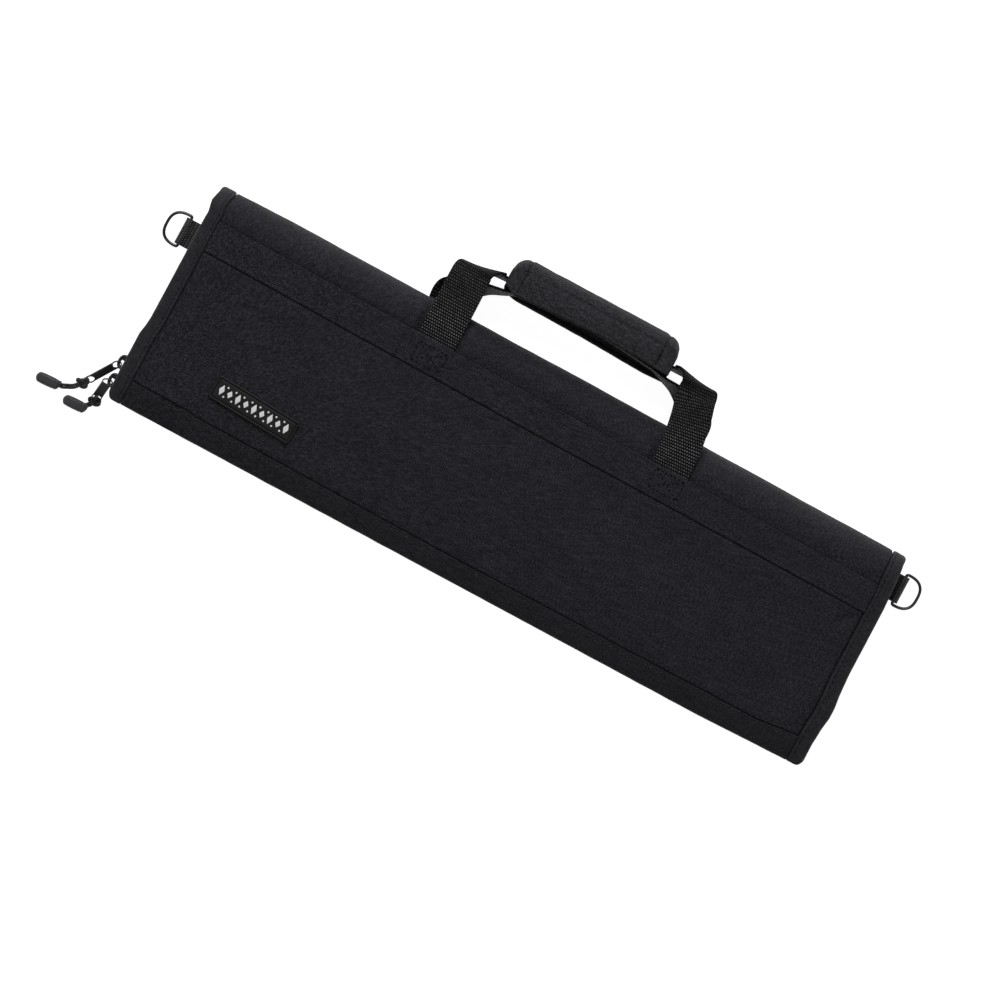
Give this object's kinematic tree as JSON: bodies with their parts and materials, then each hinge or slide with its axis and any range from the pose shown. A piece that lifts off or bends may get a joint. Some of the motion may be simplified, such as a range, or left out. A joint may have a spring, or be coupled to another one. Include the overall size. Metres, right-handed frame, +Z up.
{
  "type": "chef knife roll",
  "caption": "Long black padded knife roll, folded and zipped shut, with webbing handles in a padded wrap, side D-rings, corded zip pulls and a plain rubber patch.",
  "frame": {"origin": "centre of the flat outer face of the back panel, on which the roll lies", "axes": "+X along the roll, away from the corded zip pulls; +Y across it, toward the handle; +Z up, out of the front panel"},
  "size_m": [0.533, 0.2103, 0.0407],
  "materials": {
    "cloth": "dark woven cloth, matte",
    "binding": "woven binding tape, matte",
    "zip_tape": "woven zip tape, matte",
    "zip_coil": "nylon coil",
    "webbing": "coarse woven webbing, slight sheen",
    "ring_metal": "dark plated, glossy",
    "slider_metal": "dark plated, satin",
    "pull_metal": "dark nickel, satin",
    "cord": "braided cord",
    "grip_rubber": "moulded rubber, semi matte",
    "patch_rubber": "moulded rubber, matte"
  },
  "bodies": {
    "roll": {"cover": "cloth", "front_band": "cloth", "back_band": "cloth", "handle_wrap": "cloth", "front_hem": "binding", "back_hem": "binding", "left_binding": "binding", "right_binding": "binding", "front_zip_tape": "zip_tape", "back_zip_tape": "zip_tape", "upper_zip_chain": "zip_coil", "lower_zip_chain": "zip_coil", "front_webbing": "webbing", "back_webbing": "webbing", "left_ring_tab": "webbing", "right_ring_tab": "webbing", "upper_slider": "slider_metal", "lower_slider": "slider_metal", "upper_pull_tab": "pull_metal", "lower_pull_tab": "pull_metal", "upper_pull_cord": "cord", "lower_pull_cord": "cord", "upper_grip": "grip_rubber", "lower_grip": "grip_rubber", "patch": "patch_rubber"},
    "left_ring": {"left_d_ring": "ring_metal"},
    "right_ring": {"right_d_ring": "ring_metal"}
  },
  "joints": [
    {"name": "left_ring_swing", "type": "hinge", "parent": "roll", "child": "left_ring", "pos_m": [-0.2423, 0.0367, 0.019], "axis": [0, 1, 0], "range_deg": [-90, 90]},
    {"name": "right_ring_swing", "type": "hinge", "parent": "roll", "child": "right_ring", "pos_m": [0.239, 0.0512, 0.019], "axis": [0, 1, 0], "range_deg": [-90, 90]}
  ]
}
